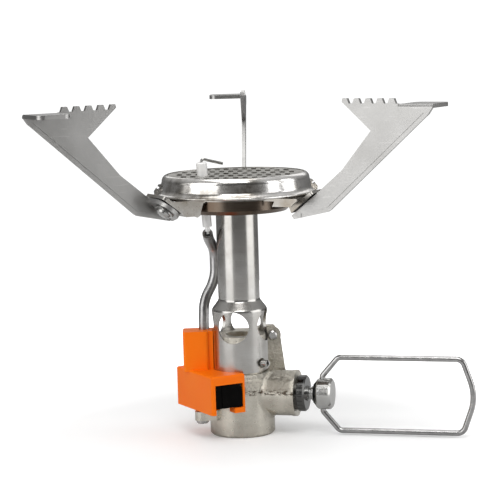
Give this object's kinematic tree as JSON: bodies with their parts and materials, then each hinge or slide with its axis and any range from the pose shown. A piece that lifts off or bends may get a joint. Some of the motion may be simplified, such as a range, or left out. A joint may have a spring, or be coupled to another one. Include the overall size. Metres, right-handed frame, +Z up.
{
  "type": "camping stove",
  "caption": "Compact canister-top gas stove: round burner on a mixer tube, folding toothed pot supports, wire-handled valve and piezo igniter.",
  "frame": {"origin": "centre of the gas canister socket's mouth, in the plane of the valve body's bottom face", "axes": "+Z up the burner's axis, away from the canister; the valve's control points towards +X, 15 degrees round towards -Y; the igniter's button faces the -Y side"},
  "size_m": [0.1312, 0.1082, 0.1032],
  "materials": {
    "nickel": "satin nickel-plated casting",
    "brass": "machined",
    "steel": "brushed stainless steel",
    "bright_steel": "polished",
    "tinted_steel": "heat-tinted drawn steel",
    "sheet_steel": "satin rolled sheet",
    "filter": "sintered",
    "seal": "matt",
    "orange": "smooth moulded",
    "black": "satin",
    "ceramic": "glazed ceramic",
    "lead": "insulated lead"
  },
  "bodies": {
    "stove": {"valve_body": "nickel", "canister_seal": "seal", "inlet_pin": "brass", "inlet_filter": "filter", "gas_jet": "brass", "jet_filter": "filter", "bonnet_nut": "bright_steel", "mixer_tube": "steel", "roll_pin": "steel", "ear_rivet": "steel", "burner_cup": "tinted_steel", "burner_rim": "bright_steel", "flame_screen": "tinted_steel", "diffuser": "steel", "support_bracket": "sheet_steel", "electrode_ceramic": "ceramic", "electrode_wire": "steel", "lead_sheath": "steel", "ignition_lead": "lead", "igniter_housing": "orange", "piezo_module": "black", "igniter_screw": "bright_steel", "hinge_rivet_left": "bright_steel", "hinge_washer_left": "bright_steel", "hinge_rivet_right": "bright_steel", "hinge_washer_right": "bright_steel", "hinge_rivet_back": "bright_steel", "hinge_washer_back": "bright_steel"},
    "valve_control": {"valve_spindle": "steel", "spindle_seal": "seal", "control_hub": "bright_steel", "hub_pin": "steel"},
    "wire_handle": {"wire_handle": "bright_steel"},
    "igniter_button": {"igniter_button": "black"},
    "pot_support_left": {"pot_support_left": "sheet_steel"},
    "pot_support_right": {"pot_support_right": "sheet_steel"},
    "pot_support_back": {"pot_support_back": "sheet_steel"}
  },
  "joints": [
    {"name": "pot_support_left_fold", "type": "hinge", "parent": "stove", "child": "pot_support_left", "pos_m": [-0.02058, -0.01582, 0.0722], "axis": [0.5436, 0.289, 0.788], "range_deg": [0, 170]},
    {"name": "pot_support_right_fold", "type": "hinge", "parent": "stove", "child": "pot_support_right", "pos_m": [0.02399, -0.00992, 0.0722], "axis": [-0.5221, 0.3263, 0.788], "range_deg": [0, 170]},
    {"name": "pot_support_back_fold", "type": "hinge", "parent": "stove", "child": "pot_support_back", "pos_m": [-0.0034, 0.02573, 0.0722], "axis": [-0.0215, -0.6153, 0.788], "range_deg": [0, 170]},
    {"name": "valve_turn", "type": "hinge", "parent": "stove", "child": "valve_control", "pos_m": [0, 0, 0.0126], "axis": [0.9659, -0.2588, 0], "range_deg": [0, 900]},
    {"name": "handle_swing", "type": "hinge", "parent": "valve_control", "child": "wire_handle", "pos_m": [0.02473, -0.00663, 0.0126], "axis": [0, 0, 1], "range_deg": [-100, 100]},
    {"name": "igniter_press", "type": "slide", "parent": "stove", "child": "igniter_button", "axis": [-0.4617, 0.887, 0], "range_m": [0, 0.0022], "stiffness_N_per_m": 2000, "springref_m": -0.001}
  ]
}
